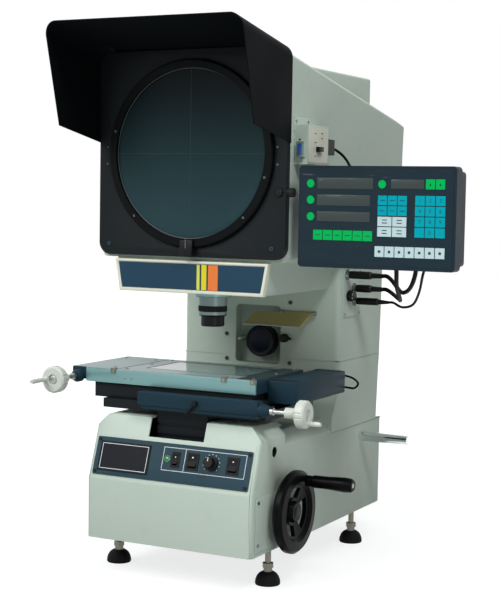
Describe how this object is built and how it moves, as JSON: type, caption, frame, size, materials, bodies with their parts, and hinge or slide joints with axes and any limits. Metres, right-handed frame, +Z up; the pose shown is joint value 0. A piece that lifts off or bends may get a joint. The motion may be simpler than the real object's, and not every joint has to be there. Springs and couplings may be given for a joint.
{
  "type": "optical comparator",
  "caption": "Vertical profile projector with hooded round screen, lens over a cranked moving stage, focus handwheel and a swivelling digital readout on the side",
  "frame": {"origin": "On the floor, at the centre of the four feet", "axes": "+X to the right for someone facing the screen, +Y to the back, +Z up; the screen faces -Y"},
  "size_m": [0.777, 0.735, 0.9929],
  "materials": {
    "body_paint": "satin",
    "black_paint": "satin",
    "slate_panel": "satin",
    "badge": "satin",
    "cream_band": "satin",
    "black_plastic": "matte",
    "gloss_black": "gloss",
    "crank_white": "gloss",
    "green_lens": "gloss",
    "foot_rubber": "matte",
    "cable_rubber": "matte",
    "foot_brass": "satin",
    "steel": "brushed",
    "inner_steel": "matte",
    "iron_core": "matte",
    "chrome": "polished",
    "stage_dark": "anodised",
    "scale_box": "satin",
    "strip": "anodised",
    "screen_glass": "ground",
    "stage_glass": "polished",
    "gold_mirror": "polished",
    "silver_mirror": "polished",
    "readout_case": "satin",
    "optic_black": "anodised"
  },
  "bodies": {
    "frame": {"base_shell": "body_paint", "base_plate": "inner_steel", "foot_pads": "foot_rubber", "foot_screws": "foot_brass", "side_cover": "body_paint", "control_panel": "slate_panel", "badge_plate": "badge", "switch_bezels": "black_plastic", "pilot_lamp": "green_lens", "wheel_bush": "steel", "lift_frame": "inner_steel", "lifting_rods": "chrome", "contour_lamp": "optic_black", "transformer": "iron_core", "mains_inlet": "black_plastic", "column": "body_paint", "lamp_recess": "body_paint", "surface_lamp": "optic_black", "mirror_bracket": "steel", "fan_frame": "black_plastic", "connector_panel": "body_paint", "cable_plugs": "black_plastic", "head_shell": "body_paint", "mirror_box": "body_paint", "name_band": "cream_band", "fold_mirrors": "silver_mirror", "objective_mount": "steel", "objective_lens": "optic_black", "screen_frame": "black_paint", "index_block": "black_plastic", "hood": "black_paint", "readout_arm": "body_paint", "interface_box": "body_paint", "readout_cables": "cable_rubber"},
    "power_switch": {"power_rocker": "black_plastic"},
    "contour_switch": {"contour_rocker": "black_plastic"},
    "surface_switch": {"surface_rocker": "black_plastic"},
    "dimmer": {"dimmer_knob": "black_plastic"},
    "focus_wheel": {"handwheel": "gloss_black"},
    "focus_grip": {"handwheel_grip": "gloss_black"},
    "focus_screw": {"lift_screw": "steel"},
    "lift": {"lift_carriage": "stage_dark", "stage_plate": "stage_dark", "x_scale_box": "scale_box"},
    "x_lock_lever": {"x_lock": "black_plastic"},
    "x_handle": {"x_crank": "crank_white"},
    "x_saddle": {"saddle": "stage_dark"},
    "y_table": {"table": "scale_box", "table_strip": "strip", "stage_glass": "stage_glass", "y_scale_box": "scale_box", "stage_cable": "cable_rubber"},
    "y_handle": {"y_crank": "crank_white"},
    "screen": {"screen_ring": "black_paint", "screen_glass": "screen_glass"},
    "screen_drive": {"screen_knob": "black_plastic"},
    "clamp": {"lamp_clamp": "black_plastic"},
    "flap": {"half_mirror": "gold_mirror"},
    "fan": {"fan_rotor": "black_plastic"},
    "display": {"readout": "readout_case"}
  },
  "joints": [
    {"name": "power_rock", "type": "hinge", "parent": "frame", "child": "power_switch", "pos_m": [0.009, -0.26142, 0.22144], "axis": [1, 0, 0], "range_deg": [0, 14]},
    {"name": "contour_rock", "type": "hinge", "parent": "frame", "child": "contour_switch", "pos_m": [0.044, -0.26142, 0.22144], "axis": [1, 0, 0], "range_deg": [0, 14]},
    {"name": "surface_rock", "type": "hinge", "parent": "frame", "child": "surface_switch", "pos_m": [0.125, -0.26142, 0.22144], "axis": [1, 0, 0], "range_deg": [0, 14]},
    {"name": "dimmer_turn", "type": "hinge", "parent": "frame", "child": "dimmer", "pos_m": [0.082, -0.26426, 0.2224], "axis": [0, -0.947, 0.3212], "range_deg": [-140, 140]},
    {"name": "lift_slide", "type": "slide", "parent": "frame", "child": "lift", "axis": [0, 0, 1], "range_m": [-0.005, 0.065]},
    {"name": "focus_turn", "type": "hinge", "parent": "frame", "child": "focus_wheel", "pos_m": [0.1835, -0.166, 0.132], "axis": [1, 0, 0], "range_deg": [-1170, 90]},
    {"name": "screw_turn", "type": "hinge", "parent": "frame", "child": "focus_screw", "pos_m": [0, -0.166, 0.132], "axis": [0, 0, 1], "range_deg": [-1170, 90]},
    {"name": "grip_spin", "type": "hinge", "parent": "focus_wheel", "child": "focus_grip", "pos_m": [0.2575, -0.133, 0.184], "axis": [1, 0, 0], "continuous": true},
    {"name": "x_slide", "type": "slide", "parent": "lift", "child": "x_saddle", "axis": [1, 0, 0], "range_m": [-0.075, 0.075]},
    {"name": "x_crank_turn", "type": "hinge", "parent": "lift", "child": "x_handle", "pos_m": [0.25, -0.245, 0.3224], "axis": [1, 0, 0], "range_deg": [-2700, 2700]},
    {"name": "x_lock_turn", "type": "hinge", "parent": "lift", "child": "x_lock_lever", "pos_m": [0.042, -0.256, 0.3264], "axis": [0, -1, 0], "range_deg": [-25, 25]},
    {"name": "y_slide", "type": "slide", "parent": "x_saddle", "child": "y_table", "axis": [0, 1, 0], "range_m": [-0.025, 0.025]},
    {"name": "y_crank_turn", "type": "hinge", "parent": "y_table", "child": "y_handle", "pos_m": [-0.225, -0.3, 0.355], "axis": [0, -1, 0], "range_deg": [-900, 900]},
    {"name": "screen_turn", "type": "hinge", "parent": "frame", "child": "screen", "pos_m": [0, -0.213, 0.77], "axis": [0, 1, 0], "continuous": true},
    {"name": "screen_knob_turn", "type": "hinge", "parent": "frame", "child": "screen_drive", "pos_m": [0.2, -0.2063, 0.703], "axis": [1, 0, 0], "continuous": true},
    {"name": "clamp_turn", "type": "hinge", "parent": "frame", "child": "clamp", "pos_m": [0.06, 0.075, 0.419], "axis": [0, -1, 0], "range_deg": [-60, 60]},
    {"name": "flap_tilt", "type": "hinge", "parent": "frame", "child": "flap", "pos_m": [0.085, 0.068, 0.47], "axis": [1, 0, 0], "range_deg": [-55, 0]},
    {"name": "fan_spin", "type": "hinge", "parent": "frame", "child": "fan", "pos_m": [0, 0.26562, 0.46], "axis": [0, 1, 0], "continuous": true},
    {"name": "display_pan", "type": "hinge", "parent": "frame", "child": "display", "pos_m": [0.345, -0.102, 0.6625], "axis": [0, 0, 1], "range_deg": [-10, 20], "deforming": ["readout_cables"]}
  ],
  "couplings": [
    {"joint": "focus_turn", "follows": "lift_slide", "rad_per_m": -314.16},
    {"joint": "screw_turn", "follows": "lift_slide", "rad_per_m": -314.16},
    {"joint": "x_crank_turn", "follows": "x_slide", "rad_per_m": 628.32},
    {"joint": "y_crank_turn", "follows": "y_slide", "rad_per_m": 628.32},
    {"joint": "screen_knob_turn", "follows": "screen_turn", "ratio": -29.6}
  ]
}
